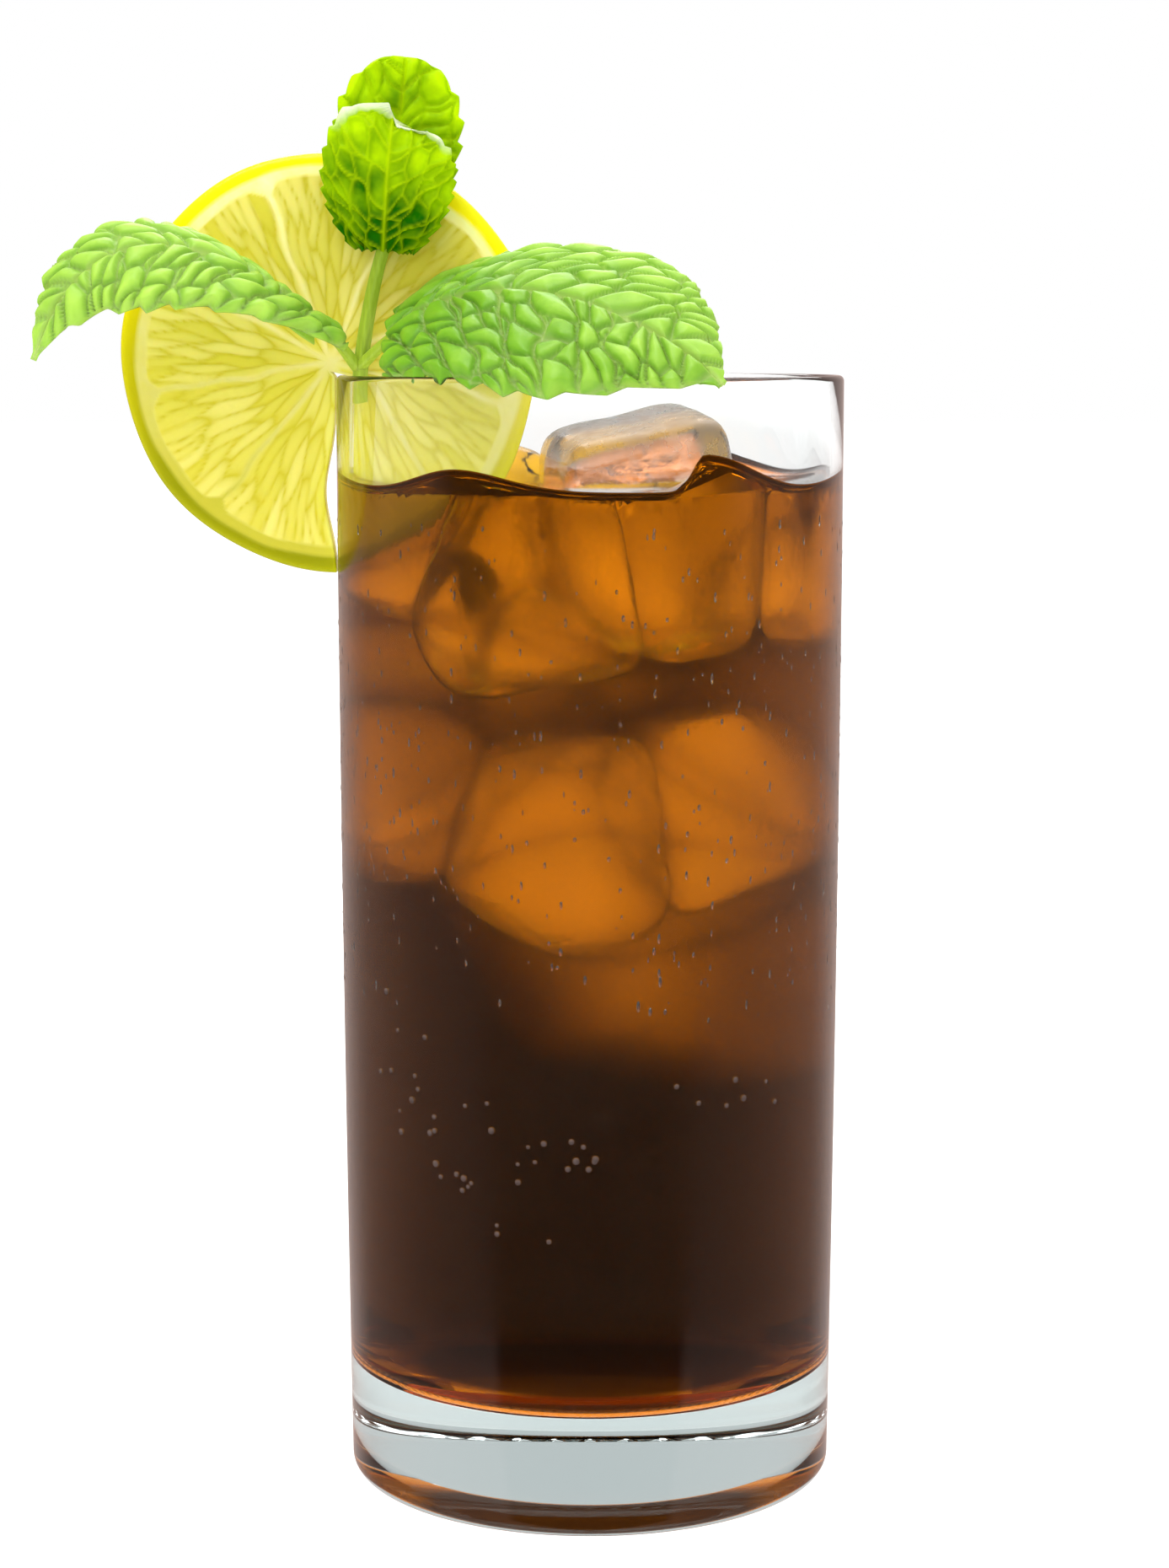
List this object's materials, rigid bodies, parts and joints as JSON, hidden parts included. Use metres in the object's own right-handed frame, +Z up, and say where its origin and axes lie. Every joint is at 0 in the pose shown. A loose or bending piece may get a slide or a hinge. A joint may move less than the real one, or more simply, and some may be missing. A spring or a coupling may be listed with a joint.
{
  "type": "mixed drink",
  "caption": "Tall straight highball glass of iced dark cola and rum, with a citrus slice slit onto the rim and a sprig of mint.",
  "frame": {"origin": "centre of the flat foot of the glass", "axes": "+Z up along the axis of the glass, -Y towards the viewer of the picture, so the lemon slice is on the -X side"},
  "size_m": [0.103, 0.0713, 0.1866],
  "materials": {
    "clear_glass": "clear, polished, misted by the cold drink",
    "rum_and_cola": "clear dark brown liquid, amber where it is thin",
    "ice": "clear ice, wet",
    "lemon": "wet citrus flesh with a waxy yellow rind",
    "mint": "fresh leaf, slightly glossy"
  },
  "bodies": {
    "root": {"glass": "clear_glass", "drink": "rum_and_cola", "ice_cube_right": "ice", "ice_cube_left": "ice", "lemon_slice": "lemon", "mint_sprig": "mint"}
  },
  "joints": []
}
